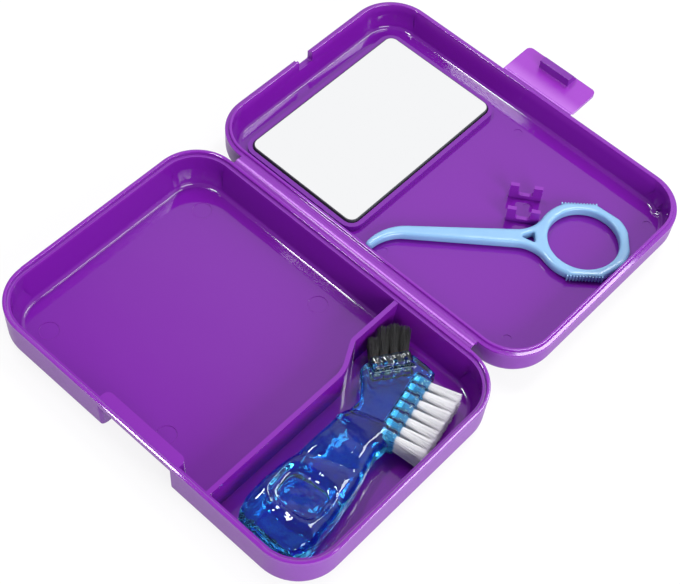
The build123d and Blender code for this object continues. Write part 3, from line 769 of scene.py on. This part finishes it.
wavy = clear_body.modifiers.new("wavy_skin", "DISPLACE")
wavy.texture = waves
wavy.texture_coords = "LOCAL"
wavy.strength = wave_height
wavy.mid_level = 1.0
wavy.vertex_group = "grip"
bpy.ops.object.modifier_apply(modifier=wavy.name)
bpy.ops.object.shade_smooth()
clear_blue = Recipe("clear_blue_plastic")
swirl = clear_blue.noise(clear_blue.spot(), swirl_size, 2.0)
relief = clear_blue.bump(swirl * swirl_depth, 1.0)
body = clear_blue.add("ShaderNodeBsdfPrincipled", None, {
    "Base Color": clear_blue.blend(swirl, *clear_blues),
    "Roughness": clear_polish + swirl * 0.02, "Normal": relief, "IOR": clear_ior, "Transmission Weight": 1.0})
clear_body.data.materials.clear()
clear_body.data.materials.append(clear_blue.finish(body))
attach(clear_body, "brush")
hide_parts("brush_handle")


# Tufts
# Round nylon bristles folded into the head's holes: 21 white tufts of one length, and 8 black ones of
# uneven length. They leave the face as tight bundles and spread until the tips meet.
golden_turn = math.radians(137.508)
tip_share = 0.62
shortest = 0.955
stray = (-0.012, 0.022)
sunk = 0.0010
stub_share = 0.86
stub_thicker = 1.3
stub_gap = 0.0003
tuft_smooth_below = 80
nylon_streak = 2400.0
nylon_seep = 0.35
nylon_seep_reach = (0.001, 0.001, 0.001)
nylon_seep_scale = 0.6
random.seed(7)


def bristles(name, strip, rows, row_pitch, lengths, lean, fan, count, tuft_radius, thickness, spread, root):
    """One strip's tufts: count strands each, and under every third one a stub of its fold in the hole."""
    columns, pitch = strip[2:]
    bpy.ops.object.select_all(action="DESELECT")
    bpy.ops.mesh.primitive_cone_add(vertices=5, radius1=thickness, radius2=thickness * tip_share, depth=1.0,
                                    location=(0, 0, 0.5))
    strand = bpy.context.object
    bpy.ops.object.transform_apply(location=True, rotation=True, scale=True)
    copies = []
    for i in range(columns):
        for j in range(rows):
            hole = Matrix.Translation(((j - (rows - 1) / 2) * row_pitch, (i - (columns - 1) / 2) * pitch, 0))
            tilt = Matrix.Rotation(math.radians(lean - fan * (i - (columns - 1) / 2)), 4, "X")
            for k in range(count):
                out = tuft_radius * math.sqrt((k + 0.5) / count)
                turn = golden_turn * k + i + 2 * j
                length = lengths[i] * random.uniform(shortest, 1.0)
                splay = math.atan2(out * (spread - 1), length) + random.uniform(*stray)
                place = strip_matrix(strip) @ hole @ tilt @ Matrix.Rotation(turn, 4, "Z")
                place = place @ Matrix.Translation((out, 0, 0)) @ Matrix.Rotation(splay, 4, "Y")
                place = place @ Matrix.Translation((0, 0, -sunk))
                mesh = strand.data.copy()
                mesh.transform(place @ Matrix.Diagonal((1, 1, length + sunk, 1)))
                copies.append(bpy.data.objects.new(name, mesh))
                if k % 3 == 0:
                    mesh = strand.data.copy()
                    stub = strip_matrix(strip) @ hole @ Matrix.Rotation(turn, 4, "Z")
                    stub = stub @ Matrix.Translation((out * stub_share, 0, -root))
                    mesh.transform(stub @ Matrix.Diagonal((stub_thicker, stub_thicker, root - stub_gap, 1)))
                    copies.append(bpy.data.objects.new(name, mesh))
    bpy.data.objects.remove(strand)
    for copy in copies:
        bpy.context.collection.objects.link(copy)
        copy.select_set(True)
    bpy.context.view_layer.objects.active = copies[0]
    bpy.ops.object.join()
    brush = bpy.context.object
    brush.name = name
    bpy.ops.object.shade_smooth_by_angle(angle=math.radians(tuft_smooth_below))
    return brush


white_tufts = bristles("white_tufts", white_strip, rows=3, row_pitch=0.0024, lengths=(0.0087,) * 7,
                       lean=0.0, fan=1.0, count=60, tuft_radius=0.00088, thickness=0.000085,
                       spread=1.78, root=0.0029)
black_tufts = bristles("black_tufts", black_strip, rows=2, row_pitch=0.0029,
                       lengths=(0.0086, 0.0098, 0.0094, 0.0066), lean=14.0, fan=0.0, count=110,
                       tuft_radius=0.00092, thickness=0.000085, spread=1.95, root=0.0010)
for piece, node, root_shade, tip_shade, sheen in (
        (white_tufts, "white_bristles", (0.90, 0.90, 0.97, 1), (1.0, 1.0, 1.0, 1), 0.30),
        (black_tufts, "black_bristles", (0.003, 0.003, 0.004, 1), (0.009, 0.009, 0.010, 1), 0.42)):
    nylon = Recipe(node + "_nylon")
    streak = nylon.noise(nylon.spot(), nylon_streak, 2.0)
    body = nylon.add("ShaderNodeBsdfPrincipled", None, {
        "Base Color": nylon.blend(streak, root_shade, tip_shade), "Roughness": sheen + streak * 0.1,
        "Subsurface Weight": nylon_seep, "Subsurface Radius": nylon_seep_reach,
        "Subsurface Scale": nylon_seep_scale})
    piece.data.materials.clear()
    piece.data.materials.append(nylon.finish(body))
    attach(piece, "brush")
    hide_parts(node)


# Tuft anchors
# Small plates of metal wire, one pressed across the fold of each tuft at the bottom of its hole: nickel
# silver under the white tufts, blackened under the black ones.
rub_size = 3000.0
anchor_sheen = 0.30
anchor_rubbed = 0.15
for node, dull, bright in (("white_tuft_anchors", (0.50, 0.50, 0.48, 1), (0.68, 0.68, 0.66, 1)),
                           ("black_tuft_anchors", (0.10, 0.10, 0.11, 1), (0.20, 0.20, 0.21, 1))):
    nickel = Recipe(node + "_metal")
    rub = nickel.noise(nickel.spot(), rub_size, 3.0)
    body = nickel.add("ShaderNodeBsdfPrincipled", None, {
        "Base Color": nickel.blend(rub, dull, bright), "Metallic": 1.0,
        "Roughness": anchor_sheen + rub * anchor_rubbed})
    nodes[node].data.materials.clear()
    nodes[node].data.materials.append(nickel.finish(body))
